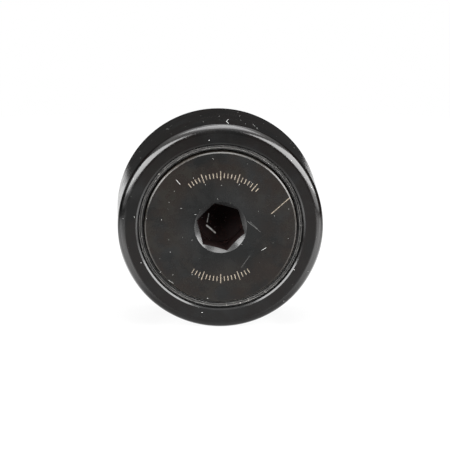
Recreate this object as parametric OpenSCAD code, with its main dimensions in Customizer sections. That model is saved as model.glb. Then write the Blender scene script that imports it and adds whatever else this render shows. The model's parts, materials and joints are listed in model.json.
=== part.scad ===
// Stud-type cam follower with a broached hex socket, sealed at both ends.
// The roller turns about +Y on a full set of needles; the stud's thread points to +Y.
// The origin is the centre of the roller. Every size is in millimetres.

/* [Roller] */
// Outside diameter of the roller
roller_d = 38.1; // [37.6:0.1:41]
// Width of the roller
roller_w = 22.225; // [21:0.005:26]
// Corner radius between the tread and each end face
tread_corner = 1.5875; // [0.5:0.0125:2]
// Width of the shallow chamfer at the mouth of each seal recess
recess_chamfer = 0.35; // [0.15:0.05:0.6]
// Depth of that chamfer
recess_chamfer_depth = 0.2; // [0.1:0.05:0.4]

/* [Needles] */
// Number of needles in the full set
needle_count = 24; // [22:1:24]
// Diameter of one needle
needle_d = 3.175; // [3:0.005:3.3]
// Radius of the corners of a needle
needle_corner = 0.35; // [0.1:0.05:0.6]

/* [Stud] */
// Diameter of the shank that the machine's bore takes
shank_d = 15.875; // [15.5:0.005:16.2]
// Length of the stud from its shoulder to its end
stud_len = 38.1; // [34:0.1:44]
// Length of the thread
thread_len = 19.05; // [14:0.05:20]
// Pitch of the thread
thread_pitch = 1.4111; // [1.2:0.0001:1.6]
// Width across the flats of the hex socket
hex_flats = 7.9375; // [7.5:0.0125:8.5]
// Depth of the flats of the hex socket
hex_depth = 6.35; // [5:0.05:6.5]
// Thickness of the stud's flange
flange_t = 3.2; // [2.9:0.05:3.6]
// How far the flange's face stands out of the roller
flange_proud = 0.4; // [0.3:0.05:0.8]
// How far the end plate's face, the shoulder, stands out of the roller
shoulder_proud = 0.79375; // [0.5:0.00625:1.2]

/* [Lubrication] */
// Diameter of the bore that holds the grease nipple
nipple_bore_d = 4.7625; // [4.5:0.0125:5]
// Diameter of the grease passage along the stud
passage_d = 3; // [2.4:0.1:3.4]
// Diameter of the two cross holes
cross_hole_d = 2.38; // [2:0.01:2.6]
// Turns of the spring in the grease nipple
spring_turns = 6; // [4:1:7]

/* [Hidden] */
$fn = 96;
EPS = 0.01;            // overlap that keeps a cut clear of the face that it opens

// Needle set: the pitch circle leaves needle_gap between neighbours.
needle_gap = 0.015;
needle_play = 0.3;     // end play of a needle between the two webs
race_clearance = 0.0125;
needle_r = needle_d / 2;
pitch_r = (needle_d + needle_gap) / (2 * sin(180 / needle_count));
inner_race_r = pitch_r - needle_r - race_clearance;
outer_race_r = pitch_r + needle_r + race_clearance;

// Rims: the flange and the end plate share one diameter and stand in equal recesses.
flange_r = outer_race_r + 0.28;
recess_r = flange_r + 1.3;
flange_chamfer = 0.25;
web_t = 0.8;           // thickness of a seal's thrust web
thrust_gap = 0.06;     // running gap between a rim and the web behind it

// Stations along +Y.
front_face = -roller_w / 2 - flange_proud;
race_half = -(front_face + flange_t);
recess_floor = race_half - thrust_gap - web_t;
needle_len = 2 * recess_floor - needle_play;
shoulder = roller_w / 2 + shoulder_proud;
thread_start = shoulder + stud_len - thread_len;
stud_end = shoulder + stud_len;

// Stud.
roller_r = roller_d / 2;
shank_r = shank_d / 2;
seat_r = shank_r + 0.4125;    // seat that the end plate is pressed on
seat_lead = 0.3;
relief_w = 0.6;
relief_depth = 0.25;
end_chamfer = 1.1;
hex_r = hex_flats / sqrt(3);
hex_turn = 15.3;       // puts a corner 44.7 degrees above +X in the front view
pilot_r = hex_flats / 2;
pilot_depth = hex_depth + 1;
socket_mouth_r = hex_r + 0.26;
drill_cone = 0.6;      // height of a drill point over its radius
spill = 1;             // how far a cut or a blank runs past the surface that it meets

// Thread: 60 degree flanks, a crest an eighth of the pitch wide.
thread_r = shank_r - 0.04;
thread_depth = 0.6134 * thread_pitch;
thread_root_r = thread_r - thread_depth;
flank_w = thread_depth * tan(30);
crest_w = thread_pitch / 8;
thread_steps = 32;
thread_lead_in = 1.5;  // turns of the helix that lie before the thread's start
thread_profile = [
    [thread_root_r, 0],
    [thread_r, flank_w],
    [thread_r, flank_w + crest_w],
    [thread_root_r, 2 * flank_w + crest_w],
];

// Grease way.
nipple_bore_r = nipple_bore_d / 2;
nipple_bore_depth = 8.6;
passage_r = passage_d / 2;
cross_r = cross_hole_d / 2;
feed_at = 3.2;         // hole that feeds the needles
passage_tip = feed_at - 0.9;
shank_hole_at = shoulder + 9.525;

// Grease nipple, measured inwards from its head's face.
head_t = 1.5;
head_r = 3;
head_chamfer = 0.5;
foot_inset = 0.3;
foot_taper = 0.6;
nipple_len = 9.4;
funnel_r = 1.65;
throat_r = 0.75;
funnel_depth = 1.1;
throat_depth = 1.5;
chamber_r = 1.3;
exit_r = 0.55;
exit_t = 0.7;
ball_r = 1;
ball_gap = 0.02;
wire_r = 0.13;
nipple_face = stud_end + head_t;
ball_at = nipple_face - throat_depth - sqrt(ball_r * ball_r - throat_r * throat_r) - ball_gap;
spring_r = ball_r - 2 * wire_r;
spring_top = ball_at - sqrt(ball_r * ball_r - spring_r * spring_r) - 2 * wire_r;
spring_foot = nipple_face - nipple_len + exit_t + wire_r + ball_gap;
wire_sides = 6;
coil_steps = 16;

// Seals, measured inwards from the roller's face.
seal_rim_at = 1.35;
seal_crest_at = 0.87;
seal_bead_r = 0.35;
seal_bead_shift = 0.12;  // how far the bead lies inwards of the rim's middle
seal_inner_r = flange_r + 0.25;
lip_r = flange_r + 0.05;
lip_from = 1.9;
lip_to = 2.3;
lip_taper = 0.35;
web_inner_r = inner_race_r + 0.15;

black_oxide = "#2e2e2f";
bright_steel = "#b9bcc0";
seal_grey = "#4b4c4c";
nipple_zinc = "#c2b280";

function needle_name(i) = str("needle_", i < 10 ? "0" : "", i);

// Turns a profile of [radius, station] about +Y.
module revolve() rotate([-90, 0, 0]) rotate_extrude() children();

// Places a shape that was drawn along +Z so that it runs along +Y from a station.
module along_y(station) translate([0, station, 0]) rotate([-90, 0, 0]) children();

// A half section from the axis to r_out whose two outer corners are round.
module round_bar(r_out, from, to, corner) {
    translate([0, from]) square([r_out - corner, to - from]);
    translate([0, from + corner]) square([r_out, to - from - 2 * corner]);
    for (at = [from + corner, to - corner]) {
        intersection() {
            translate([r_out - corner, at]) circle(corner);
            translate([0, at - corner]) square([r_out + corner, 2 * corner]);
        }
    }
}

// A half section from r_in to r_out with chamfered outer corners.
module chamfered_bar(r_in, r_out, from, to, chamfer) {
    polygon([
        [r_in, from], [r_out - chamfer, from], [r_out, from + chamfer],
        [r_out, to - chamfer], [r_out - chamfer, to], [r_in, to],
    ]);
}

// ---- Stud ----

module stud_body() {
    revolve() {
        chamfered_bar(0, flange_r, front_face, -race_half, flange_chamfer);
        polygon([
            [0, -race_half - EPS], [inner_race_r - relief_depth, -race_half - EPS],
            [inner_race_r - relief_depth, -race_half + relief_w],
            [inner_race_r, -race_half + relief_w + relief_depth],
            [inner_race_r, race_half - seat_lead], [inner_race_r - seat_lead, race_half],
            [seat_r, race_half], [seat_r, shoulder - seat_lead], [shank_r, shoulder],
            [shank_r, thread_start - thread_depth], [thread_root_r, thread_start],
            [thread_root_r, thread_start + EPS], [0, thread_start + EPS],
        ]);
    }
}

// One row of points for each step along the helix, then the two points that close its ends.
module thread_helix(turns) {
    steps = turns * thread_steps;
    rows = len(thread_profile);
    points = [
        for (i = [0:steps], p = thread_profile)
            let (a = 360 * i / thread_steps, z = thread_pitch * i / thread_steps + p[1])
                [p[0] * cos(a), p[0] * sin(a), z]
    ];
    foot = len(points);
    tip = foot + 1;
    last = steps - thread_steps;
    flanks = [
        for (i = [0:steps - 1], j = [0:rows - 2])
            let (a = i * rows + j) each [[a, a + 1, a + rows + 1], [a, a + rows + 1, a + rows]]
    ];
    roots = [
        for (i = [0:last - 1])
            let (a = i * rows + rows - 1, b = (i + thread_steps) * rows)
                each [[a, b, b + rows], [a, b + rows, a + rows]]
    ];
    foot_fan = [for (i = [0:thread_steps - 1]) [foot, i * rows, (i + 1) * rows]];
    foot_seam = [
        for (j = [0:rows - 2]) [foot, j + 1, j],
        [foot, thread_steps * rows, rows - 1],
    ];
    top_row = rows - 1;
    tip_fan = [for (i = [last:steps - 1]) [tip, (i + 1) * rows + top_row, i * rows + top_row]];
    tip_seam = [
        [tip, last * rows + top_row, steps * rows],
        for (j = [0:rows - 2]) [tip, steps * rows + j, steps * rows + j + 1],
    ];
    polyhedron(
        concat(points, [[0, 0, thread_pitch / 2], [0, 0, thread_pitch * (turns + 0.5)]]),
        concat(flanks, roots, foot_fan, foot_seam, tip_fan, tip_seam)
    );
}

module thread() {
    turns = ceil(thread_len / thread_pitch) + 2;
    intersection() {
        along_y(thread_start - thread_lead_in * thread_pitch) thread_helix(turns);
        revolve() polygon([
            [0, thread_start - thread_depth], [shank_r + spill, thread_start - thread_depth],
            [shank_r + spill, stud_end - end_chamfer - spill],
            [shank_r - end_chamfer, stud_end], [0, stud_end],
        ]);
    }
}

module hex_socket() {
    along_y(front_face - EPS) {
        rotate(hex_turn) cylinder(r = hex_r, h = hex_depth + EPS, $fn = 6);
        cylinder(r = pilot_r, h = pilot_depth + EPS);
    }
    revolve() {
        polygon([
            [0, front_face - EPS], [socket_mouth_r + EPS, front_face - EPS],
            [0, front_face + socket_mouth_r],
        ]);
        polygon([
            [0, front_face + pilot_depth - EPS], [pilot_r, front_face + pilot_depth - EPS],
            [pilot_r, front_face + pilot_depth],
            [0, front_face + pilot_depth + drill_cone * pilot_r],
        ]);
    }
}

module grease_ways() {
    nipple_floor = stud_end - nipple_bore_depth;
    revolve() polygon([
        [0, passage_tip - drill_cone * passage_r], [passage_r, passage_tip],
        [passage_r, nipple_floor - drill_cone * (nipple_bore_r - passage_r)],
        [nipple_bore_r, nipple_floor], [nipple_bore_r, stud_end + EPS], [0, stud_end + EPS],
    ]);
    translate([0, feed_at, 0]) cylinder(r = cross_r, h = inner_race_r + spill);
    translate([0, shank_hole_at, 0]) cylinder(r = cross_r, h = shank_r + spill);
}

module stud() {
    color(black_oxide) difference() {
        union() {
            stud_body();
            thread();
        }
        hex_socket();
        grease_ways();
    }
}

// Hardened washer pressed on the stud: it holds the roller on and is the mounting shoulder.
module end_plate() {
    color(black_oxide) revolve()
        chamfered_bar(seat_r, flange_r, race_half, shoulder, flange_chamfer);
}

// ---- Roller ----

module recess_section(side) {
    mouth = roller_w / 2;
    scale([1, side]) polygon([
        [0, recess_floor], [recess_r, recess_floor], [recess_r, mouth - recess_chamfer_depth],
        [recess_r + recess_chamfer + EPS, mouth + EPS], [0, mouth + EPS],
    ]);
}

module outer_ring() {
    color(black_oxide) revolve() difference() {
        round_bar(roller_r, -roller_w / 2, roller_w / 2, tread_corner);
        translate([0, -roller_w]) square([outer_race_r, 2 * roller_w]);
        recess_section(1);
        recess_section(-1);
    }
}

// A seal for the front recess: beaded rim, lip just clear of the flange, and thrust web.
module seal_section() {
    face = -roller_w / 2;
    bead_at = (seal_inner_r + recess_r) / 2 - seal_bead_shift;
    difference() {
        union() {
            translate([seal_inner_r, face + seal_rim_at])
                square([recess_r - seal_inner_r, -recess_floor - face - seal_rim_at]);
            translate([web_inner_r, -recess_floor - web_t])
                square([recess_r - web_inner_r, web_t]);
            translate([bead_at, face + seal_crest_at + seal_bead_r]) circle(seal_bead_r, $fn = 32);
            translate([bead_at - seal_bead_r, face + seal_crest_at + seal_bead_r])
                square([2 * seal_bead_r, seal_rim_at - seal_crest_at]);
            polygon([
                [lip_r, face + lip_from], [seal_inner_r + EPS, face + lip_from - lip_taper],
                [seal_inner_r + EPS, face + lip_to + lip_taper], [lip_r, face + lip_to],
            ]);
        }
        translate([recess_r, face]) square(roller_w);
    }
}

module seal_front() color(seal_grey) revolve() seal_section();

module seal_rear() color(seal_grey) revolve() scale([1, -1]) seal_section();

// ---- Needles ----

module needle(i) {
    color(bright_steel) rotate([0, 360 * (i - 1) / needle_count, 0])
        translate([0, 0, pitch_r]) revolve()
            round_bar(needle_r, -needle_len / 2, needle_len / 2, needle_corner);
}

// ---- Grease nipple ----

module grease_nipple() {
    foot = nipple_face - nipple_len;
    color(nipple_zinc) revolve() difference() {
        polygon([
            [0, foot], [nipple_bore_r - foot_inset, foot], [nipple_bore_r, foot + foot_taper],
            [nipple_bore_r, stud_end], [head_r, stud_end], [head_r, nipple_face - head_chamfer],
            [head_r - head_chamfer, nipple_face], [0, nipple_face],
        ]);
        polygon([
            [0, foot - EPS], [exit_r, foot - EPS], [exit_r, foot + exit_t],
            [chamber_r, foot + exit_t], [chamber_r, nipple_face - throat_depth],
            [throat_r, nipple_face - throat_depth], [throat_r, nipple_face - funnel_depth],
            [funnel_r, nipple_face + EPS], [0, nipple_face + EPS],
        ]);
    }
}

module nipple_ball() color(bright_steel) translate([0, ball_at, 0]) sphere(ball_r);

function coil_point(i, k) =
    let (
        steps = spring_turns * coil_steps,
        turn = 360 * i / coil_steps,
        side = 360 * k / wire_sides,
        r = spring_r + wire_r * cos(side),
        y = spring_foot + (spring_top - spring_foot) * i / steps + wire_r * sin(side)
    )
        [r * cos(turn), y, -r * sin(turn)];

// Helical spring that holds the ball on its seat.
module nipple_spring() {
    steps = spring_turns * coil_steps;
    points = [for (i = [0:steps], k = [0:wire_sides - 1]) coil_point(i, k)];
    walls = [
        for (i = [0:steps - 1], k = [0:wire_sides - 1])
            let (a = i * wire_sides + k, b = i * wire_sides + (k + 1) % wire_sides)
                [a, b, b + wire_sides, a + wire_sides]
    ];
    first = [for (k = [0:wire_sides - 1]) wire_sides - 1 - k];
    last = [for (k = [0:wire_sides - 1]) steps * wire_sides + k];
    color(bright_steel) polyhedron(points, concat(walls, [first, last]));
}

stud();
end_plate();
outer_ring();
seal_front();
seal_rear();
grease_nipple();
nipple_ball();
nipple_spring();
for (i = [1:needle_count]) needle(i);
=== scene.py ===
"""Looks of a stud-type cam follower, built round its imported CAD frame.

Lengths are in millimetres until a mesh is made. The origin is the roller's centre, +Y runs along
the stud towards its thread, and +Z is up. Angles round the stud run from +Z towards +X.
"""

import json
import math

import bmesh
import bpy
from mathutils import Matrix, Vector


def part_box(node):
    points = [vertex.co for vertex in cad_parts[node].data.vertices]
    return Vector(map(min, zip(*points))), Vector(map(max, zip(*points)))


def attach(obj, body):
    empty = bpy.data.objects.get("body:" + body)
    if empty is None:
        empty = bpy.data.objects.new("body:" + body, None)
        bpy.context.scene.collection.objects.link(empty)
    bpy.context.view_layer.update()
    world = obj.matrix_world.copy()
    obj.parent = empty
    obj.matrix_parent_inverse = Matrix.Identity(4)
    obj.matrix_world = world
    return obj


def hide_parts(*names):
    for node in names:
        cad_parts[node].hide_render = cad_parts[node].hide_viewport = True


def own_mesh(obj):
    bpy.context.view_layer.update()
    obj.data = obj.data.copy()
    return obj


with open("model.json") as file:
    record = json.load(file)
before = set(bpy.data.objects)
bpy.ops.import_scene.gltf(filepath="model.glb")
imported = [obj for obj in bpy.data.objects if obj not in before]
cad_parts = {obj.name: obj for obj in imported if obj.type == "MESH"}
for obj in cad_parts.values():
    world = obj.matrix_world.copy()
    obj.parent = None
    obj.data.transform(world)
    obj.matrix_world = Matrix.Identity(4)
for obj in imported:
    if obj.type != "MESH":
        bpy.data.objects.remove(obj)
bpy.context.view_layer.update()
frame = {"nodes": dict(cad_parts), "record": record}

MM = 0.001
TURN = 2 * math.pi


# ---- Sizes, from the frame ----


def node_box(node):
    """A node's lowest and highest corners."""
    low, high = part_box(node)
    return low / MM, high / MM


def reach(node):
    """How far a node that is round about the stud's axis reaches from it."""
    low, high = node_box(node)
    return round(max(high.x, high.z, -low.x, -low.z), 2)


def mount(name):
    """A mount from the record, with its dimensions."""
    return next(m for m in frame["record"]["mounts"] if m["name"] == name)


ROLLER_R = mount("roller_tread")["dims"]["r_mm"]
ROLLER_HALF = node_box("outer_ring")[1].y
TREAD_CORNER = ROLLER_HALF - mount("roller_tread")["dims"]["length_mm"] / 2
RECESS_R = reach("seal_front")
RECESS_FLOOR = -node_box("seal_front")[1].y
RECESS_CHAMFER = 0.35
RECESS_CHAMFER_DEPTH = 0.2

FLANGE_R = reach("end_plate")
FLANGE_FACE = node_box("stud")[0].y
RACE_HALF = node_box("end_plate")[0].y
SHOULDER = node_box("end_plate")[1].y
RIM_CHAMFER = 0.25

NEEDLE_COUNT = sum(name.startswith("needle_") for name in frame["nodes"])
NEEDLE_LOW, NEEDLE_HIGH = node_box("needle_01")
NEEDLE_R = (NEEDLE_HIGH.x - NEEDLE_LOW.x) / 2
NEEDLE_PITCH_R = (NEEDLE_HIGH.z + NEEDLE_LOW.z) / 2
NEEDLE_CORNER = 0.35
RACE_CLEARANCE = 0.0125
INNER_RACE_R = NEEDLE_PITCH_R - NEEDLE_R - RACE_CLEARANCE
OUTER_RACE_R = NEEDLE_PITCH_R + NEEDLE_R + RACE_CLEARANCE

SHANK_R = mount("stud_shank")["dims"]["r_mm"]
SEAT_STEP = 0.4125
SEAT_R = SHANK_R + SEAT_STEP
THREAD_R = mount("stud_thread")["dims"]["r_mm"]
THREAD_PITCH = 1.4111
THREAD_DEPTH_SHARE = 0.6134
THREAD_DEPTH = THREAD_DEPTH_SHARE * THREAD_PITCH
STUD_END = node_box("stud")[1].y
THREAD_START = STUD_END - mount("stud_thread")["dims"]["length_mm"]
END_CHAMFER = 1.1

HEX_FLATS = 7.9375
HEX_DEPTH = mount("hex_socket")["dims"]["length_mm"]
HEX_CORNER_ANGLE = math.radians(45.3)
SOCKET_CHAMFER = 0.26
SOCKET_MOUTH_R = HEX_FLATS / math.sqrt(3) + SOCKET_CHAMFER
PILOT_GAP = 0.03
PILOT_R = HEX_FLATS / 2 - PILOT_GAP
PILOT_PAST_HEX = 1.0
PILOT_DEPTH = HEX_DEPTH + PILOT_PAST_HEX
DRILL_CONE = 0.6  # a drill point's height over its radius

NIPPLE_BORE_R = 2.38125
NIPPLE_BORE_DEPTH = 8.6
NIPPLE_FLOOR = STUD_END - NIPPLE_BORE_DEPTH
PASSAGE_R = 1.5
FEED_AT = 3.2
PASSAGE_PAST_FEED = 0.9
PASSAGE_TIP = FEED_AT - PASSAGE_PAST_FEED
CROSS_R = 1.19
SHANK_HOLE_FROM_SHOULDER = 9.525
SHANK_HOLE_AT = SHOULDER + SHANK_HOLE_FROM_SHOULDER

# Points round the axis for each kind of piece
COLUMNS = 192
RING_COLUMNS = 256
SEAL_COLUMNS = 384
NIPPLE_COLUMNS = 128
FINE_COLUMNS = 48


# ---- Mesh helpers ----


def rounded(outline, closed=True, step=math.radians(15)):
    """An outline of (radius, station, corner radius) as points with its corners rounded."""
    points = []
    count = len(outline)
    for i, (r, y, corner) in enumerate(outline):
        here = Vector((r, y))
        inner = closed or 0 < i < count - 1
        if corner <= 0 or not inner:
            points.append((r, y))
            continue
        before = here - Vector(outline[i - 1][:2])
        after = Vector(outline[(i + 1) % count][:2]) - here
        turn = before.angle_signed(after)
        cut = min(corner * math.tan(abs(turn) / 2), 0.49 * before.length, 0.49 * after.length)
        radius = cut / math.tan(abs(turn) / 2)
        before.normalize()
        after.normalize()
        start = here - before * cut
        side = Vector((before.y, -before.x)) * (1 if turn > 0 else -1)
        centre = start + side * radius
        steps = max(2, math.ceil(abs(turn) / step))
        for k in range(steps + 1):
            a = turn * k / steps
            arm = -side
            points.append(
                (
                    centre.x + radius * (arm.x * math.cos(a) + arm.y * math.sin(a)),
                    centre.y + radius * (arm.y * math.cos(a) - arm.x * math.sin(a)),
                )
            )
    return points


def ring(r, y, columns, start=0.0):
    """Points round the stud's axis. r and y are numbers, or functions of the angle."""
    points = []
    for k in range(columns):
        a = start + TURN * k / columns
        radius = r(a) if callable(r) else r
        station = y(a) if callable(y) else y
        points.append((radius * math.sin(a), station, radius * math.cos(a)))
    return points


def quads_between(rows, columns, closed=False):
    """Faces of a grid of rows, each a closed ring of columns points."""
    faces = []
    for i in range(rows if closed else rows - 1):
        a, b = i * columns, (i + 1) % rows * columns
        for k in range(columns):
            n = (k + 1) % columns
            faces.append((a + k, a + n, b + n, b + k))
    return faces


def turned(outline, columns, start=0.0, closed=False):
    """Points and faces of an outline turned about the stud's axis."""
    points = []
    for r, y in outline:
        points += ring(r, y, columns, start)
    return points, quads_between(len(outline), columns, closed)


def new_piece(name, points, faces, material, merge=0.002, sharp=35):
    """A closed mesh, still in millimetres, with clean shading and one material."""
    mesh = bpy.data.meshes.new(name)
    mesh.from_pydata(points, [], faces)
    work = bmesh.new()
    work.from_mesh(mesh)
    bmesh.ops.remove_doubles(work, verts=work.verts, dist=merge)
    bmesh.ops.dissolve_degenerate(work, edges=work.edges, dist=merge / 2)
    bmesh.ops.recalc_face_normals(work, faces=work.faces)
    work.to_mesh(mesh)
    work.free()
    mesh.shade_smooth()
    mesh.set_sharp_from_angle(angle=math.radians(sharp))
    mesh.materials.append(material)
    piece = bpy.data.objects.new(name, mesh)
    bpy.context.scene.collection.objects.link(piece)
    return piece


def settled(piece):
    """The piece's mesh with its modifiers applied."""
    bpy.context.view_layer.update()
    graph = bpy.context.evaluated_depsgraph_get()
    shape = bpy.data.meshes.new_from_object(piece.evaluated_get(graph))
    piece.modifiers.clear()
    return shape


def to_metres(piece):
    """Weights normals by area, so that flats stay flat beside small edges, and scales down."""
    weighted = piece.modifiers.new("even_shading", "WEIGHTED_NORMAL")
    weighted.keep_sharp = True
    weighted.thresh = 0.0001
    piece.data = settled(piece)
    piece.data.transform(Matrix.Scale(MM, 4))


def lathe(name, outline, material, columns=COLUMNS, closed=True, sharp=35):
    """A piece turned about the stud's axis from a closed outline, or one that ends on the axis."""
    points, faces = turned(outline, columns, closed=closed)
    return new_piece(name, points, faces, material, sharp=sharp)


def mirrored(outline):
    """The same outline on the other side of the roller's middle."""
    return [(r, -y) for r, y in outline]


def place(piece, body, node, scale=True):
    """Every piece stands for one CAD node and rides on its body."""
    if scale:
        to_metres(piece)
    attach(piece, body)
    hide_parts(node)
    return piece


# ---- Materials ----


class Shader:
    """A material's node tree, with short calls for what these materials use."""

    def __init__(self, name):
        self.material = bpy.data.materials.new(name)
        self.material.use_nodes = True
        self.tree = self.material.node_tree
        self.surface = self.tree.nodes["Principled BSDF"]

    def add(self, kind, inputs=None, **settings):
        """A new node, with its settings, and its inputs linked or set."""
        node = self.tree.nodes.new(kind)
        for key, value in settings.items():
            setattr(node, key, value)
        for key, value in (inputs or {}).items():
            self.feed(node.inputs[key], value)
        return node

    def feed(self, socket, value):
        if isinstance(value, bpy.types.NodeSocket):
            self.tree.links.new(value, socket)
        else:
            socket.default_value = value

    def set(self, values):
        for key, value in values.items():
            self.feed(self.surface.inputs[key], value)

    def math(self, operation, a, b=0.0, clamp=False):
        node = self.add("ShaderNodeMath", {0: a, 1: b}, operation=operation, use_clamp=clamp)
        return node.outputs[0]

    def vector(self, operation, a, b=(0, 0, 0)):
        node = self.add("ShaderNodeVectorMath", {0: a, 1: b}, operation=operation)
        return node.outputs["Value" if operation in ("LENGTH", "DOT_PRODUCT") else "Vector"]

    def scaled(self, a, factor):
        node = self.add("ShaderNodeVectorMath", {0: a, "Scale": factor}, operation="SCALE")
        return node.outputs["Vector"]

    def combine(self, x, y, z):
        return self.add("ShaderNodeCombineXYZ", {0: x, 1: y, 2: z}).outputs[0]

    def noise(self, vector, scale, detail=3.0, roughness=0.5):
        inputs = {"Vector": vector, "Scale": scale, "Detail": detail, "Roughness": roughness}
        return self.add("ShaderNodeTexNoise", inputs).outputs["Fac"]

    def remap(self, value, low, high, to_low=0.0, to_high=1.0, smooth=True):
        inputs = {"Value": value, "From Min": low, "From Max": high}
        inputs.update({"To Min": to_low, "To Max": to_high})
        kind = "SMOOTHSTEP" if smooth else "LINEAR"
        node = self.add("ShaderNodeMapRange", inputs, interpolation_type=kind, clamp=True)
        return node.outputs["Result"]

    def mix(self, factor, a, b):
        node = self.add("ShaderNodeMix", data_type="RGBA")
        self.feed(node.inputs[0], factor)
        self.feed(node.inputs[6], a)
        self.feed(node.inputs[7], b)
        return node.outputs[2]

    def bump(self, height, depth, strength=1.0):
        inputs = {"Height": height, "Distance": depth * MM, "Strength": strength}
        return self.add("ShaderNodeBump", inputs).outputs["Normal"]

    def position(self):
        """The point on the piece, in millimetres in the frame."""
        at = self.add("ShaderNodeTexCoord").outputs["Object"]
        return self.scaled(at, 1 / MM)

    def round_axis(self, at):
        """Radius from the stud's axis, angle round it and station along it."""
        parts = self.add("ShaderNodeSeparateXYZ", {0: at})
        x, y, z = parts.outputs
        flat = self.combine(x, 0.0, z)
        return self.vector("LENGTH", flat), self.math("ARCTAN2", x, z), y

    def wound(self, at, per_radian, per_mm):
        """A space wound round the axis, with one scale round it and another across."""
        radius, angle, station = self.round_axis(at)
        along = self.math("MULTIPLY", self.math("ADD", radius, station), per_mm)
        sine = self.math("MULTIPLY", self.math("SINE", angle), per_radian)
        cosine = self.math("MULTIPLY", self.math("COSINE", angle), per_radian)
        return self.combine(sine, along, cosine)

    def specks(self, radius, angle, station, size, spacing, share):
        """Scattered specks of dust, even over faces and cylinders round the axis."""
        mean_radius = 15.0
        u = self.math("MULTIPLY", angle, mean_radius / spacing)
        v = self.math("DIVIDE", self.math("ADD", radius, station), spacing)
        cells = self.add(
            "ShaderNodeTexVoronoi",
            {"Vector": self.combine(u, v, 0.0), "Scale": 1.0},
            voronoi_dimensions="2D",
        )
        pick = self.add("ShaderNodeSeparateColor", {0: cells.outputs["Color"]})
        reach_of = self.math("MULTIPLY", pick.outputs[1], size / spacing)
        near = self.math("LESS_THAN", cells.outputs["Distance"], reach_of)
        return self.math("MULTIPLY", near, self.math("LESS_THAN", pick.outputs[0], share))

    def scratch(self, at, start, end, width, strength=1.0, wander=0.1):
        """A mask along a line, uneven along its length and frayed by the wander."""
        start, end = Vector(start), Vector(end)
        along = end - start
        offset = self.vector("SUBTRACT", at, tuple(start))
        share = self.vector("DOT_PRODUCT", offset, tuple(along / along.length_squared))
        share = self.math("MAXIMUM", self.math("MINIMUM", share, 1.0), 0.0)
        nearest = self.scaled(tuple(along), share)
        gap = self.vector("LENGTH", self.vector("SUBTRACT", offset, nearest))
        fray = self.noise(at, scale=2.2, detail=3.0, roughness=0.7)
        sway = self.math("MULTIPLY", self.math("SUBTRACT", fray, 0.45), wander)
        gap = self.math("ADD", gap, sway)
        core = width * 0.3
        body = self.remap(gap, core, width, strength, 0.0)
        return self.math("MULTIPLY", body, self.remap(fray, 0.3, 0.6, 0.35, 1.0))


def cover(shader, masks):
    """One mask that is on wherever any of them is."""
    total = masks[0]
    for mask in masks[1:]:
        total = shader.math("MAXIMUM", total, mask)
    return total


def tick_marks(shader, radius, angle):
    """Two plain arcs of etched ticks on the flange, every fifth one longer."""
    spacing = math.radians(4)
    row_r = 9.7
    half_width = 0.085
    short, long = 0.45, 0.85
    arcs = [(math.radians(-38), math.radians(46)), (math.radians(146), math.radians(214))]
    steps = shader.math("DIVIDE", angle, spacing)
    nearest = shader.math("ROUND", steps)
    off = shader.math("ABSOLUTE", shader.math("SUBTRACT", steps, nearest))
    sideways = shader.math("MULTIPLY", shader.math("MULTIPLY", off, spacing), radius)
    fifth = shader.math("DIVIDE", nearest, 5.0)
    whole = shader.math("ROUND", fifth)
    from_fifth = shader.math("ABSOLUTE", shader.math("SUBTRACT", fifth, whole))
    half_length = shader.remap(from_fifth, 0.05, 0.15, long, short, smooth=False)
    lengthways = shader.math("ABSOLUTE", shader.math("SUBTRACT", radius, row_r))
    inside = shader.math("SUBTRACT", lengthways, half_length)
    mask = shader.math(
        "MULTIPLY",
        shader.remap(sideways, half_width * 0.6, half_width * 1.3, 1.0, 0.0),
        shader.remap(inside, -0.06, 0.06, 1.0, 0.0),
    )
    rows = []
    for low, high in arcs:
        middle, half = (low + high) / 2, (high - low) / 2
        turned = shader.math("SUBTRACT", angle, middle)
        wrapped = shader.math("ABSOLUTE", shader.add(
            "ShaderNodeMath", {0: turned, 1: math.pi, 2: -math.pi}, operation="WRAP"
        ).outputs[0])
        rows.append(shader.math("LESS_THAN", wrapped, half + spacing / 4))
    return shader.math("MULTIPLY", mask, cover(shader, rows))


def oxide_tint(shader, at, radius, blotch, base, warm):
    """Near-black oxide with a faint haze, warm clouds away from the axis and olive blotches."""
    haze_lift = 0.0019
    clouds = shader.remap(shader.noise(at, scale=0.16, detail=5.0, roughness=0.6), 0.36, 0.6)
    outward = shader.remap(radius, 5.0, 11.0)
    tint = shader.math("MULTIPLY", clouds, outward)
    haze = shader.remap(shader.noise(at, scale=0.09, detail=2.0, roughness=0.5), 0.38, 0.62)
    hazy = [c + haze_lift for c in base]
    colour = shader.mix(haze, (*base, 1), (*hazy, 1))
    colour = shader.mix(tint, colour, (*warm, 1))
    olive = (warm[0] * 0.75, warm[1] * 1.15, warm[2] * 0.8, 1)
    olive_share = shader.math("MULTIPLY", blotch, shader.math("MULTIPLY", tint, 0.8))
    return shader.mix(olive_share, colour, olive)


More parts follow.
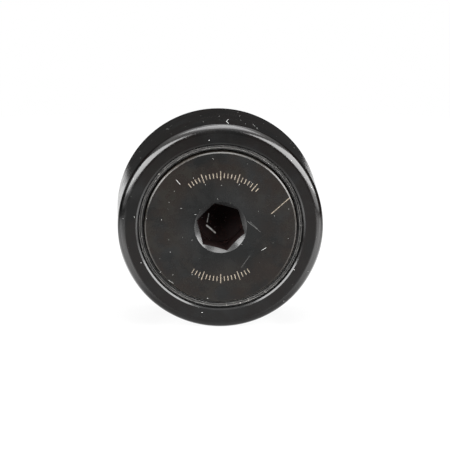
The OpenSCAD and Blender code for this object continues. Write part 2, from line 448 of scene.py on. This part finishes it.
def socket_shade_and_finish(shader, at, radius, station, colour, roughness):
    """Painted shade inside the hex socket: sooty walls with dulled gloss so the recess reads dark,
    a rusty residue, and a paler chamfer round its mouth.
    """
    painted_shade_soot = (0.0006, 0.0002, 0.0002, 1)
    rusty = (0.011, 0.0032, 0.0022, 1)
    full_gloss, painted_shade_gloss = (1, 1, 1, 1), (0.34, 0.27, 0.27, 1)
    chamfer_grey = (0.0065, 0.0065, 0.0065, 1)
    dulling = 0.5
    past_chamfer = FLANGE_FACE + SOCKET_MOUTH_R + 0.08
    depth = shader.math("ADD", radius, station)
    within = shader.math("LESS_THAN", radius, SOCKET_MOUTH_R)
    inside = shader.math("MULTIPLY", shader.math("GREATER_THAN", depth, past_chamfer), within)
    inside = shader.math("MULTIPLY", inside, shader.math("LESS_THAN", station, PASSAGE_TIP))
    residue = shader.remap(shader.noise(at, scale=3.4, detail=5.0, roughness=0.75), 0.5, 0.66)
    # Painted shade: the socket's walls get a near-black colour and a dulled, reddened gloss so the
    # recess reads dark; the rusty patches are residue.
    colour = shader.mix(inside, colour, shader.mix(residue, painted_shade_soot, rusty))
    shader.set({"Specular Tint": shader.mix(inside, full_gloss, painted_shade_gloss)})
    roughness = shader.math("ADD", roughness, shader.math("MULTIPLY", inside, dulling))
    chamfer = shader.math("MULTIPLY", shader.math("LESS_THAN", depth, past_chamfer), within)
    return shader.mix(chamfer, colour, chamfer_grey), roughness


def worn_edge(shader, at, radius, edge_r, share):
    """A patchy mask along a round edge."""
    off = shader.math("ABSOLUTE", shader.math("SUBTRACT", radius, edge_r))
    patches = shader.noise(at, scale=1.2, detail=4.0, roughness=0.7)
    patchy = shader.remap(patches, 0.4, 0.62, 0.25, 1.0)
    band = shader.remap(off, 0.06, 0.2, share, 0.0)
    return shader.math("MULTIPLY", band, patchy)


def black_oxide(name, base, warm, rough, marks=False, scratches=(), nicks=(), lint=(), worn_r=()):
    """Oiled black oxide on ground steel: cloudy tints, turned lines, dust and nicks.

    Scratches, etched marks and worn edges show tan. A piece with lint has painted shade in its hex
    socket, sooty and dull, and the lint lies on the socket's floor.
    """
    dust_colour = (0.36, 0.36, 0.35, 1)
    bare_tan = (0.098, 0.082, 0.063, 1)
    dust_size, dust_spacing, dust_share = 0.072, 2.8, 0.45
    shader = Shader(name)
    at = shader.position()
    radius, angle, station = shader.round_axis(at)
    blotch = shader.remap(shader.noise(at, scale=0.4, detail=4.0, roughness=0.65), 0.42, 0.68)
    colour = oxide_tint(shader, at, radius, blotch, base, warm)
    turned_lines = shader.noise(shader.wound(at, per_radian=1.0, per_mm=5.0), scale=1.0, detail=2.0)
    grain = shader.noise(at, scale=9.0, detail=3.0, roughness=0.65)
    roughness = shader.math("ADD", rough - 0.08, shader.math("MULTIPLY", blotch, 0.08))
    roughness = shader.math("ADD", roughness, shader.math("MULTIPLY", grain, 0.09))
    if lint:
        colour, roughness = socket_shade_and_finish(shader, at, radius, station, colour, roughness)
    pale = [shader.specks(radius, angle, station, dust_size, dust_spacing, dust_share)]
    for nick in nicks:
        pale.append(shader.scratch(at, *nick))
    flat = shader.vector("MULTIPLY", at, (1, 0, 1))
    deep = shader.math("GREATER_THAN", station, FLANGE_FACE + HEX_DEPTH)
    for thread in lint:
        fibre = shader.scratch(flat, *thread)
        pale.append(shader.math("MULTIPLY", fibre, deep))
    colour = shader.mix(cover(shader, pale), colour, dust_colour)
    tan = [shader.scratch(at, *s) for s in scratches]
    if marks:
        uneven = shader.noise(at, scale=3.0, detail=2.0, roughness=0.6)
        etched = shader.remap(uneven, 0.3, 0.65, 0.55, 1.0)
        tan.append(shader.math("MULTIPLY", tick_marks(shader, radius, angle), etched))
    for edge_r, share in worn_r:
        tan.append(worn_edge(shader, at, radius, edge_r, share))
    if tan:
        tan = cover(shader, tan)
        colour = shader.mix(tan, colour, bare_tan)
        roughness = shader.math("ADD", roughness, shader.math("MULTIPLY", tan, 0.2))
    lines_height = shader.math("MULTIPLY", turned_lines, 0.6)
    height = shader.math("ADD", lines_height, shader.math("MULTIPLY", grain, 0.4))
    shader.set({
        "Base Color": colour,
        "Roughness": roughness,
        "IOR": 1.335,
        "Normal": shader.bump(height, depth=0.0028),
    })
    return shader.material


def seal_polymer():
    """Dark moulded nitrile, wiped: torn streaks round the ring, dust, and painted shade that
    darkens it deeper behind the crest.
    """
    dark, streaked = (0.013, 0.0125, 0.012, 1), (0.058, 0.056, 0.053, 1)
    torn_colour = (0.17, 0.166, 0.154, 1)
    dust_colour = (0.42, 0.41, 0.38, 1)
    painted_shade_colour = (0.004, 0.0038, 0.0035, 1)
    dust_size, dust_spacing, dust_share = 0.11, 1.3, 0.5
    shader = Shader("seal_polymer")
    at = shader.position()
    radius, angle, station = shader.round_axis(at)
    broad = shader.wound(at, per_radian=9.0, per_mm=7.0)
    streaks = shader.noise(broad, scale=1.0, detail=4.0, roughness=0.7)
    narrow = shader.wound(at, per_radian=34.0, per_mm=5.0)
    torn = shader.noise(narrow, scale=1.0, detail=4.0, roughness=0.75)
    grain = shader.noise(at, scale=6.0, detail=4.0, roughness=0.7)
    colour = shader.mix(shader.remap(streaks, 0.4, 0.66), dark, streaked)
    colour = shader.mix(shader.remap(torn, 0.6, 0.72), colour, torn_colour)
    dust = shader.specks(radius, angle, station, dust_size, dust_spacing, dust_share)
    colour = shader.mix(shader.math("MULTIPLY", dust, 0.8), colour, dust_colour)
    crest = -node_box("seal_front")[0].y
    # Painted shade: the seal's colour goes to near black deeper behind its crest, where the gap
    # beside the flange lies in shade.
    depth = shader.math("SUBTRACT", crest, shader.math("ABSOLUTE", station))
    depth_shade = shader.remap(depth, 0.2, 0.5)
    colour = shader.mix(depth_shade, colour, painted_shade_colour)
    height = shader.math("ADD", streaks, shader.math("MULTIPLY", torn, 0.8))
    shader.set({
        "Base Color": colour,
        "Roughness": shader.remap(grain, 0.3, 0.7, 0.38, 0.62),
        "IOR": 1.5,
        "Normal": shader.bump(height, depth=0.07),
    })
    return shader.material


def ground_steel(name, base, rough):
    """Bright ground steel, lightly clouded, with fine lines along the stud's axis."""
    shader = Shader(name)
    at = shader.position()
    lines = shader.vector("MULTIPLY", at, (14.0, 0.8, 14.0))
    fine = shader.noise(lines, scale=1.0, detail=3.0)
    cloud = shader.noise(at, scale=0.6, detail=3.0)
    dimmer = [c * 0.86 for c in base]
    colour = shader.mix(shader.remap(cloud, 0.35, 0.7), (*base, 1), (*dimmer, 1))
    shader.set({
        "Base Color": colour,
        "Metallic": 1.0,
        "Roughness": shader.remap(fine, 0.3, 0.7, rough - 0.05, rough + 0.08),
        "Normal": shader.bump(fine, depth=0.0012),
    })
    return shader.material


def nipple_plating():
    """Yellow zinc plate, blotchy with a faint iridescent bloom."""
    shader = Shader("nipple_plating")
    at = shader.position()
    cloud = shader.remap(shader.noise(at, scale=0.9, detail=3.0, roughness=0.6), 0.35, 0.65)
    bloom = shader.remap(shader.noise(at, scale=0.5, detail=2.0), 0.5, 0.7)
    yellow, straw, rosy = (0.56, 0.47, 0.28, 1), (0.62, 0.56, 0.42, 1), (0.5, 0.4, 0.42, 1)
    colour = shader.mix(cloud, yellow, straw)
    colour = shader.mix(shader.math("MULTIPLY", bloom, 0.4), colour, rosy)
    grain = shader.noise(at, scale=12.0, detail=3.0, roughness=0.6)
    shader.set({
        "Base Color": colour,
        "Metallic": 1.0,
        "Roughness": shader.remap(grain, 0.3, 0.7, 0.24, 0.4),
        "Normal": shader.bump(grain, depth=0.003),
    })
    return shader.material


# Each is a start, an end, a width, a strength and how far it wanders.
STUD_SCRATCHES = [((12.9, FLANGE_FACE, 5.6), (9.4, FLANGE_FACE, 2.5), 0.115, 1.0, 0.06)]
STUD_NICKS = [
    ((4.9, FLANGE_FACE, 1.1), (6.8, FLANGE_FACE, -0.4), 0.075, 0.11, 0.05),
    ((5.5, FLANGE_FACE, 1.0), (7.3, FLANGE_FACE, -0.9), 0.06, 0.08, 0.05),
    ((7.6, FLANGE_FACE, -4.4), (8.4, FLANGE_FACE, -3.9), 0.085, 0.5, 0.12),
    ((-8.2, FLANGE_FACE, 8.9), (-7.5, FLANGE_FACE, 8.1), 0.085, 0.6, 0.1),
    ((-9.7, FLANGE_FACE, -9.9), (-8.8, FLANGE_FACE, -10.5), 0.07, 0.35, 0.1),
    ((3.8, FLANGE_FACE, -7.6), (5.4, FLANGE_FACE, -5.4), 0.07, 0.08, 0.1),
]
SOCKET_LINT = [
    ((-2.0, 0, 1.1), (-2.3, 0, -0.5), 0.14, 0.8, 0.1),
    ((-2.4, 0, -1.1), (-0.8, 0, -2.5), 0.19, 1.0, 0.1),
]


def tread_point(angle, station):
    """A point on the tread, at an angle in degrees from the top."""
    a = math.radians(angle)
    return (ROLLER_R * math.sin(a), station, ROLLER_R * math.cos(a))


RING_NICKS = [
    (tread_point(5.0, -3.6), tread_point(3.6, -6.4), 0.11, 0.6, 0.12),
    (tread_point(3.6, -6.4), tread_point(4.6, -8.8), 0.12, 0.7, 0.12),
    (tread_point(19, -3.4), tread_point(20.2, -5.4), 0.1, 0.35, 0.12),
    (tread_point(20.9, -6.5), tread_point(21.4, -7.4), 0.1, 0.5, 0.12),
    (tread_point(-31, 2.0), tread_point(-29.5, 0.2), 0.1, 0.2, 0.1),
]

WORN_SHARE = 0.1
OXIDE_STUD = black_oxide(
    "black_oxide_stud",
    (0.0002, 0.0003, 0.0003),
    (0.0022, 0.0012, 0.0007),
    0.28,
    marks=True,
    scratches=STUD_SCRATCHES,
    nicks=STUD_NICKS,
    lint=SOCKET_LINT,
    worn_r=[(FLANGE_R - RIM_CHAMFER / 2, WORN_SHARE)],
)
OXIDE_RING = black_oxide(
    "black_oxide_ring", (0.0002, 0.0002, 0.0002), (0.0010, 0.0006, 0.0005), 0.18, nicks=RING_NICKS
)
OXIDE_PLATE = black_oxide(
    "black_oxide_plate", (0.0015, 0.0016, 0.0018), (0.006, 0.0042, 0.0025), 0.28
)
SEAL = seal_polymer()
NEEDLE_STEEL = ground_steel("needle_steel", (0.62, 0.62, 0.63), 0.16)
SPRING_STEEL = ground_steel("spring_steel", (0.5, 0.5, 0.51), 0.22)
NIPPLE_ZINC = nipple_plating()


# ---- Stud ----


def hex_radius(a):
    """Distance from the axis to the hex's wall at an angle."""
    sixth = TURN / 6
    off = (a - HEX_CORNER_ANGLE) % sixth - sixth / 2
    return HEX_FLATS / 2 / math.cos(off)


def socket_rings():
    """Rings from the drill point in the socket out to its chamfered mouth."""
    edge = 0.03
    lean = edge * math.cos(math.pi / 4)
    floor = FLANGE_FACE + PILOT_DEPTH

    def chamfer_foot(a):
        return FLANGE_FACE + SOCKET_MOUTH_R - hex_radius(a)

    return [
        (0.0, floor + DRILL_CONE * PILOT_R),
        (PILOT_R * 0.5, floor + DRILL_CONE * PILOT_R * 0.5),
        (PILOT_R, floor),
        (PILOT_R, FLANGE_FACE + HEX_DEPTH),
        (hex_radius, FLANGE_FACE + HEX_DEPTH),
        (hex_radius, FLANGE_FACE + HEX_DEPTH * 0.5),
        (hex_radius, lambda a: chamfer_foot(a) + edge),
        (lambda a: hex_radius(a) + lean, lambda a: chamfer_foot(a) - lean),
    ]


def thread_radius(a, y):
    """A right-hand 60 degree thread with softened crests and roots."""
    phase = (y - THREAD_START) / THREAD_PITCH - (a - math.pi / 2) / TURN
    crest_w = THREAD_PITCH / 8
    flank_w = THREAD_DEPTH * math.tan(math.pi / 6)
    # Puts the crest where the CAD's helix has it.
    phase -= (flank_w + crest_w / 2) / THREAD_PITCH - 1.5
    off = abs((phase + 0.5) % 1 - 0.5) * THREAD_PITCH
    drop = max(0.0, off - crest_w / 2) / math.tan(math.pi / 6)
    drop = min(drop, THREAD_DEPTH)
    share = drop / THREAD_DEPTH
    soft = 0.06 * math.sin(math.pi * share) ** 2 * (share - 0.5)
    return THREAD_R - drop + soft


def blank_radius(a, y):
    """The thread, run out into the shank at its start and chamfered at its end."""
    start_cone = SHANK_R - (y - (THREAD_START - THREAD_DEPTH))
    end_cone = SHANK_R - END_CHAMFER + (STUD_END - y)
    return min(end_cone, max(start_cone, thread_radius(a, y)))


def thread_grid():
    """Points and faces whose rows follow the helix, held between the thread's two ends."""
    low, high = THREAD_START - THREAD_DEPTH, STUD_END
    per_turn = 18
    first = math.floor(-THREAD_DEPTH / THREAD_PITCH) - 2
    last = math.ceil((high - THREAD_START) / THREAD_PITCH) + 1
    rows = (last - first) * per_turn
    points = []
    for k in range(COLUMNS):
        a = HEX_CORNER_ANGLE + TURN * k / COLUMNS
        for i in range(rows):
            y = THREAD_START + THREAD_PITCH * (first + i / per_turn + k / COLUMNS)
            y = min(max(y, low), high)
            r = blank_radius(a, y)
            points.append((r * math.sin(a), y, r * math.cos(a)))
    faces = []
    for k in range(COLUMNS):
        shift = per_turn if k == COLUMNS - 1 else 0
        here, there = k * rows, (k + 1) % COLUMNS * rows
        for i in range(-shift, rows - 1):
            a, b = here + max(i, 0), here + max(i + 1, 0)
            c = there + min(i + 1 + shift, rows - 1)
            d = there + min(i + shift, rows - 1)
            faces.append((a, b, c, d))
    return points, faces


def stud_front():
    """Outline from the socket's mouth over the flange, the race and the shank to the thread."""
    relief = INNER_RACE_R - 0.25
    relief_end, race_start = -RACE_HALF + 0.6, -RACE_HALF + 0.85
    lead_in = 0.3
    mouth_lead = 0.1
    return rounded(
        [
            (SOCKET_MOUTH_R - mouth_lead, FLANGE_FACE + mouth_lead, 0),
            (SOCKET_MOUTH_R, FLANGE_FACE, 0.06),
            (7.5, FLANGE_FACE, 0),
            (11.0, FLANGE_FACE, 0),
            (FLANGE_R - RIM_CHAMFER, FLANGE_FACE, 0.14),
            (FLANGE_R, FLANGE_FACE + RIM_CHAMFER, 0.14),
            (FLANGE_R, -RACE_HALF - RIM_CHAMFER, 0.06),
            (FLANGE_R - RIM_CHAMFER, -RACE_HALF, 0.06),
            (relief, -RACE_HALF, 0.12),
            (relief, relief_end, 0.05),
            (INNER_RACE_R, race_start, 0.05),
            (INNER_RACE_R, RACE_HALF - lead_in, 0.05),
            (INNER_RACE_R - lead_in, RACE_HALF, 0.05),
            (SEAT_R, RACE_HALF, 0.08),
            (SEAT_R, SHOULDER - lead_in, 0.05),
            (SHANK_R, SHOULDER, 0.05),
            (SHANK_R, THREAD_START - THREAD_DEPTH, 0),
        ],
        closed=False,
    )


def stud_back():
    """Outline from the thread's end into the nipple's bore and down the grease passage."""
    taper = DRILL_CONE * (NIPPLE_BORE_R - PASSAGE_R)
    return rounded(
        [
            (SHANK_R - END_CHAMFER, STUD_END, 0),
            (5.0, STUD_END, 0),
            (NIPPLE_BORE_R, STUD_END, 0.04),
            (NIPPLE_BORE_R, NIPPLE_FLOOR, 0.04),
            (PASSAGE_R, NIPPLE_FLOOR - taper, 0.04),
            (PASSAGE_R, PASSAGE_TIP, 0),
            (0.0, PASSAGE_TIP - DRILL_CONE * PASSAGE_R, 0),
        ],
        closed=False,
    )


def cross_hole(name, station, outside, flare):
    """A cutter for a hole from the grease passage through a round surface, flared at its mouth."""
    steps = 48
    outline = [
        (0.0, 0.0),
        (CROSS_R, 0.0),
        (CROSS_R, outside - flare),
        (CROSS_R + 4 * flare, outside + 3 * flare),
        (0.0, outside + 3 * flare),
    ]
    points = []
    for r, z in outline:
        for k in range(steps):
            a = TURN * k / steps
            points.append((r * math.cos(a), station + r * math.sin(a), z))
    return new_piece(name, points, quads_between(len(outline), steps), OXIDE_STUD)


def make_stud():
    """The stud as one closed skin, socket to nipple bore, with its two cross holes cut."""
    sharp = 38
    points, faces = [], []

    def append(more_points, more_faces):
        base = len(points)
        points.extend(more_points)
        faces.extend(tuple(base + i for i in f) for f in more_faces)

    append(*turned(socket_rings() + stud_front(), COLUMNS, HEX_CORNER_ANGLE))
    append(*thread_grid())
    append(*turned(stud_back(), COLUMNS, HEX_CORNER_ANGLE))
    stud = new_piece("stud_body", points, faces, OXIDE_STUD, merge=0.004, sharp=sharp)
    for cutter in (
        cross_hole("feed_cutter", FEED_AT, INNER_RACE_R, 0.06),
        cross_hole("shank_cutter", SHANK_HOLE_AT, SHANK_R, 0.1),
    ):
        cut = stud.modifiers.new("hole", "BOOLEAN")
        cut.operation = "DIFFERENCE"
        cut.solver = "EXACT"
        cut.object = cutter
        stud.data = settled(stud)
        bpy.data.objects.remove(cutter)
    stud.data.set_sharp_from_angle(angle=math.radians(sharp))
    place(stud, "stud", "stud")


def make_end_plate():
    """A plain disc with broken edges, pressed on the stud's seat."""
    outline = rounded(
        [
            (SEAT_R, RACE_HALF, 0.08),
            (FLANGE_R - RIM_CHAMFER, RACE_HALF, 0.05),
            (FLANGE_R, RACE_HALF + RIM_CHAMFER, 0.05),
            (FLANGE_R, SHOULDER - RIM_CHAMFER, 0.06),
            (FLANGE_R - RIM_CHAMFER, SHOULDER, 0.06),
            (SEAT_R, SHOULDER, 0.08),
        ]
    )
    plate = lathe("end_plate_body", outline, OXIDE_PLATE)
    place(plate, "stud", "end_plate")


# ---- Roller ----


def make_outer_ring():
    """The roller's ring: its race, a recess in each end face and a round corner on each side."""
    mouth = RECESS_R + RECESS_CHAMFER

    def half(side):
        rows = [
            (OUTER_RACE_R, side * RECESS_FLOOR, 0.05),
            (RECESS_R, side * RECESS_FLOOR, 0.1),
            (RECESS_R, side * (ROLLER_HALF - RECESS_CHAMFER_DEPTH), 0.08),
            (mouth, side * ROLLER_HALF, 0.12),
            (ROLLER_R, side * ROLLER_HALF, TREAD_CORNER),
        ]
        return rows if side < 0 else rows[::-1]

    outline = rounded(half(-1) + half(1), step=math.radians(6))
    piece = lathe("outer_ring_body", outline, OXIDE_RING, RING_COLUMNS)
    place(piece, "roller", "outer_ring")


def seal_outline():
    """Half section of the front seal: rough bead, rim against the recess, lip and thrust web."""
    face = -ROLLER_HALF
    inner = FLANGE_R + 0.25
    lip = FLANGE_R + 0.05
    crest = node_box("seal_front")[0].y
    inner_crest = crest + 0.05
    valley = crest + 0.3
    ridge_r = 0.14
    inner_ridge = FLANGE_R + 0.6
    outer_ridge = FLANGE_R + 0.96
    rim = face + 1.35
    floor = -RECESS_FLOOR
    web = floor - 0.8
    web_inner = INNER_RACE_R + 0.15
    return rounded(
        [
            (RECESS_R, rim, 0.05),
            (RECESS_R, floor, 0.06),
            (web_inner, floor, 0.12),
            (web_inner, web, 0.12),
            (inner, web, 0.1),
            (inner, face + 2.65, 0.03),
            (lip, face + 2.3, 0.04),
            (lip, face + 1.9, 0.04),
            (inner, face + 1.55, 0.03),
            (inner, rim, 0.05),
            (inner_ridge - ridge_r, rim, 0.03),
            (inner_ridge - ridge_r, inner_crest, ridge_r),
            (inner_ridge + ridge_r, inner_crest, ridge_r),
            (inner_ridge + ridge_r, valley, 0.04),
            (outer_ridge - ridge_r, valley, 0.04),
            (outer_ridge - ridge_r, crest, ridge_r),
            (outer_ridge + ridge_r, crest, ridge_r),
            (outer_ridge + ridge_r, rim, 0.03),
        ],
        step=math.radians(12),
    )


def roughen(piece, crest, depth):
    """Gives the bead that shows in the recess the torn, fibrous skin of a wiped seal."""
    texture = bpy.data.textures.new(piece.name + "_skin", "CLOUDS")
    texture.noise_scale = 0.3
    texture.noise_depth = 3
    texture.intensity = 1.0
    reach_back, clear_of_walls = 0.45, 0.2
    group = piece.vertex_groups.new(name="bead")
    for vertex in piece.data.vertices:
        behind = abs(vertex.co.y - crest)
        out = math.hypot(vertex.co.x, vertex.co.z)
        if behind < reach_back and FLANGE_R + clear_of_walls < out < RECESS_R - clear_of_walls:
            group.add([vertex.index], 1.0 - behind / reach_back, "REPLACE")
    push = piece.modifiers.new("skin", "DISPLACE")
    push.texture = texture
    push.texture_coords = "LOCAL"
    push.vertex_group = "bead"
    push.strength = depth
    push.mid_level = 1.0


def make_seal(node, outline, crest):
    """One seal, which turns with the roller."""
    skin_depth = 0.07
    piece = lathe(node + "_body", outline, SEAL, SEAL_COLUMNS)
    roughen(piece, crest, skin_depth)
    place(piece, "roller", node)


def make_seals():
    outline = seal_outline()
    make_seal("seal_front", outline, node_box("seal_front")[0].y)
    make_seal("seal_rear", mirrored(outline), node_box("seal_rear")[1].y)


# ---- Needles ----


def make_needles():
    """Each needle has a faint crown towards its ends and round corners."""
    half = (NEEDLE_HIGH.y - NEEDLE_LOW.y) / 2
    crown, crown_length = 0.004, 2.5
    outline = rounded(
        [
            (0.0, -half, 0),
            (NEEDLE_R - crown, -half, NEEDLE_CORNER),
            (NEEDLE_R, -half + crown_length, 0),
            (NEEDLE_R, half - crown_length, 0),
            (NEEDLE_R - crown, half, NEEDLE_CORNER),
            (0.0, half, 0),
        ],
        closed=False,
    )
    first = None
    for i in range(NEEDLE_COUNT):
        name = f"needle_{i + 1:02d}"
        if first is None:
            piece = lathe(name + "_body", outline, NEEDLE_STEEL, FINE_COLUMNS, closed=False)
            to_metres(piece)
            first = piece
        else:
            piece = bpy.data.objects.new(name + "_body", first.data)
            bpy.context.scene.collection.objects.link(piece)
        a = TURN * i / NEEDLE_COUNT
        piece.location = Vector((math.sin(a), 0, math.cos(a))) * NEEDLE_PITCH_R * MM
        piece.rotation_euler = (0, a, 0)
        place(piece, "needles", name, scale=False)


# ---- Grease nipple ----


def make_nipple():
    """A pressed-in nipple with a coned inlet, a seat for the ball and a chamber for the spring."""
    low, high = node_box("grease_nipple")
    foot, face = low.y, high.y
    head_r = reach("grease_nipple")
    head_edge = 0.5
    inlet_mouth_r, inlet_r, chamber_r, outlet_r = 1.65, 0.75, 1.3, 0.55
    cone_end, seat, chamber_floor = face - 1.1, face - 1.5, foot + 0.7
    taper_r, taper_end = NIPPLE_BORE_R - 0.3, foot + 0.6
    outline = rounded(
        [
            (outlet_r, foot, 0.05),
            (taper_r, foot, 0.1),
            (NIPPLE_BORE_R, taper_end, 0.1),
            (NIPPLE_BORE_R, STUD_END, 0.04),
            (head_r, STUD_END, 0.1),
            (head_r, face - head_edge, 0.25),
            (head_r - head_edge, face, 0.25),
            (inlet_mouth_r, face, 0.12),
            (inlet_r, cone_end, 0.06),
            (inlet_r, seat, 0.04),
            (chamber_r, seat, 0.06),
            (chamber_r, chamber_floor, 0.06),
            (outlet_r, chamber_floor, 0.04),
        ],
        step=math.radians(10),
    )
    piece = lathe("grease_nipple_body", outline, NIPPLE_ZINC, NIPPLE_COLUMNS)
    place(piece, "stud", "grease_nipple")


def make_ball():
    """The nipple's check ball."""
    low, high = node_box("nipple_ball")
    middle, radius = (low.y + high.y) / 2, (high.y - low.y) / 2
    steps = 24
    outline = []
    for k in range(steps + 1):
        a = math.pi * k / steps
        outline.append((radius * math.sin(a), middle - radius * math.cos(a)))
    piece = lathe("nipple_ball_body", outline, NEEDLE_STEEL, FINE_COLUMNS, closed=False)
    place(piece, "check_ball", "nipple_ball")


def make_spring():
    """A wire coiled between the nipple's foot and the ball, its end turns wound closer."""
    low, high = node_box("nipple_spring")
    wire = 0.13
    crowding = 0.07
    coil_r = reach("nipple_spring") - wire
    turns, per_turn, sides = 6, 32, 12
    foot, top = low.y + wire, high.y - wire
    count = turns * per_turn
    points = []
    for i in range(count + 1):
        share = i / count
        eased = share - crowding * math.sin(TURN * share)
        a = TURN * turns * share
        y = foot + (top - foot) * eased
        for k in range(sides):
            b = TURN * k / sides
            r = coil_r + wire * math.cos(b)
            points.append((r * math.sin(a), y + wire * math.sin(b), r * math.cos(a)))
    faces = quads_between(count + 1, sides)
    faces.append(tuple(range(sides)))
    faces.append(tuple(count * sides + k for k in range(sides)))
    piece = new_piece("nipple_spring_body", points, faces, SPRING_STEEL)
    place(piece, "stud", "nipple_spring")
    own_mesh(piece)


# ---- Camera, floor and light ----


def aim(azimuth, elevation):
    """The unit vector that a camera there looks along."""
    a, e = math.radians(azimuth), math.radians(elevation)
    return Vector((-math.sin(a) * math.cos(e), math.cos(a) * math.cos(e), -math.sin(e)))


def make_camera():
    """A long lens just above the roller's axis. Distance and shifts are in millimetres."""
    azimuth, elevation = -1.6, 10.3
    distance = 752.0
    shift_right, shift_up = 0.80, 0.42
    look = aim(azimuth, elevation)
    right = look.cross(Vector((0, 0, 1))).normalized()
    up = right.cross(look)
    data = bpy.data.cameras.new("camera")
    data.lens = 325.2
    data.sensor_width = 36
    data.clip_start, data.clip_end = 0.05, 20
    camera = bpy.data.objects.new("camera", data)
    face = Vector((0, FLANGE_FACE, 0))
    camera.location = (face - look * distance + right * shift_right + up * shift_up) * MM
    camera.rotation_mode = "QUATERNION"
    camera.rotation_quaternion = look.to_track_quat("-Z", "Y")
    bpy.context.scene.collection.objects.link(camera)
    bpy.context.scene.camera = camera


def make_floor():
    """A pale round table top that the roller stands on, seen through from below.

    Its glow is even to the camera. Reflected in the part it is dimmer far in front and brighter on
    either side. Limits are in millimetres.
    """
    radius, columns = 0.25, 96
    plain, far_front, side_gain = 0.87, 0.4, 2.4
    front_limits = (-240, -130)
    side_limits = (14, 30)
    side_starts, side_ends = (-80, -35), (10, 35)
    level = -ROLLER_R * MM
    centre = Vector((0, 0, level))
    points = [centre]
    for k in range(columns):
        a = TURN * k / columns
        points.append(centre + Vector((radius * math.cos(a), radius * math.sin(a), 0)))
    faces = [(0, k + 1, (k + 1) % columns + 1) for k in range(columns)]
    mesh = bpy.data.meshes.new("floor")
    mesh.from_pydata(points, [], faces)
    shader = Shader("floor_paper")
    at = shader.position()
    grain = shader.noise(at, scale=1.5, detail=3.0)
    darker, paler = (0.034, 0.034, 0.034, 1), (0.038, 0.038, 0.038, 1)
    parts = shader.add("ShaderNodeSeparateXYZ", {0: at}).outputs
    x, y = parts["X"], parts["Y"]
    ahead = shader.remap(y, *front_limits, far_front, plain)
    beside = shader.remap(shader.math("ABSOLUTE", x), *side_limits, 0.0, side_gain)
    beside = shader.math("MULTIPLY", beside, shader.remap(y, *side_starts))
    beside = shader.math("MULTIPLY", beside, shader.remap(y, *side_ends, 1.0, 0.0))
    glow = shader.math("ADD", ahead, beside)
    seen = shader.add("ShaderNodeLightPath").outputs["Is Camera Ray"]
    glow = shader.add("ShaderNodeMix", {0: seen, 2: glow, 3: plain}).outputs[0]
    shader.set({
        "Base Color": shader.mix(grain, darker, paler),
        "Roughness": 0.27,
        "Emission Color": (1, 1, 1, 1),
        "Emission Strength": glow,
    })
    out = shader.tree.nodes["Material Output"]
    under = shader.add("ShaderNodeNewGeometry").outputs["Backfacing"]
    clear = shader.add("ShaderNodeBsdfTransparent").outputs[0]
    both = shader.add("ShaderNodeMixShader", {0: under, 1: shader.surface.outputs[0], 2: clear})
    shader.tree.links.new(both.outputs[0], out.inputs["Surface"])
    mesh.materials.append(shader.material)
    floor = bpy.data.objects.new("floor", mesh)
    bpy.context.scene.collection.objects.link(floor)


def softbox(name, direction, size, radiance, distance=0.8):
    """A rectangular light that faces the object, hidden from the camera. Lengths are in metres."""
    width, height = size
    data = bpy.data.lights.new(name, "AREA")
    data.shape = "RECTANGLE"
    data.size, data.size_y = width, height
    data.energy = radiance * math.pi * width * height
    light = bpy.data.objects.new(name, data)
    way = Vector(direction).normalized()
    light.location = way * distance
    light.rotation_mode = "QUATERNION"
    light.rotation_quaternion = way.to_track_quat("Z", "Y")
    light.visible_camera = False
    bpy.context.scene.collection.objects.link(light)


def gradient(tree, value, start, end):
    """A smooth ramp between two pairs of a coordinate's value and a brightness."""
    (low, at_low), (high, at_high) = start, end
    limits = {"From Min": low, "From Max": high, "To Min": at_low, "To Max": at_high}
    ramp = tree.nodes.new("ShaderNodeMapRange")
    ramp.interpolation_type = "SMOOTHSTEP"
    tree.links.new(value, ramp.inputs["Value"])
    for key, number in limits.items():
        ramp.inputs[key].default_value = number
    return ramp.outputs["Result"]


def make_lights():
    """Large soft boxes left, right and above, with weak ones low down and behind."""
    softbox("left", (-0.72, -0.55, 0.46), size=(0.96, 0.44), radiance=23)
    softbox("left_low", (-0.85, -0.52, 0.12), size=(0.70, 0.16), radiance=2)
    softbox("right", (0.74, -0.50, 0.47), size=(1.00, 0.50), radiance=23)
    softbox("right_low", (0.85, -0.50, 0.10), size=(0.76, 0.20), radiance=8)
    softbox("top", (0.03, 0.02, 1.0), size=(0.66, 0.64), radiance=11)
    softbox("top_back", (0.1, 0.75, 0.65), size=(0.40, 0.25), radiance=2, distance=0.9)


def make_surroundings():
    """White to the camera. To the part, a grey room, darker behind, with a bright ceiling."""
    world = bpy.data.worlds.new("studio")
    world.use_nodes = True
    tree = world.node_tree
    room = tree.nodes["Background"]
    room.inputs["Color"].default_value = (1, 1, 1, 1)
    way = tree.nodes.new("ShaderNodeTexCoord")
    parts = tree.nodes.new("ShaderNodeSeparateXYZ")
    tree.links.new(way.outputs["Generated"], parts.inputs[0])
    front, back = (-1.0, 0.45), (0.4, 0.045)
    side, overhead = (0.5, 0.0), (0.95, 3.5)
    walls = gradient(tree, parts.outputs["Y"], front, back)
    ceiling = gradient(tree, parts.outputs["Z"], side, overhead)
    total = tree.nodes.new("ShaderNodeMath")
    tree.links.new(walls, total.inputs[0])
    tree.links.new(ceiling, total.inputs[1])
    tree.links.new(total.outputs[0], room.inputs["Strength"])
    seen = tree.nodes.new("ShaderNodeBackground")
    seen.inputs["Color"].default_value = (1, 1, 1, 1)
    seen.inputs["Strength"].default_value = 1.0
    rays = tree.nodes.new("ShaderNodeLightPath")
    both = tree.nodes.new("ShaderNodeMixShader")
    tree.links.new(rays.outputs["Is Camera Ray"], both.inputs[0])
    tree.links.new(room.outputs[0], both.inputs[1])
    tree.links.new(seen.outputs[0], both.inputs[2])
    tree.links.new(both.outputs[0], tree.nodes["World Output"].inputs["Surface"])
    bpy.context.scene.world = world
    bpy.context.scene.view_settings.view_transform = "Standard"


make_camera()
make_stud()
make_end_plate()
make_outer_ring()
make_seals()
make_needles()
make_nipple()
make_ball()
make_spring()
make_floor()
make_lights()
make_surroundings()
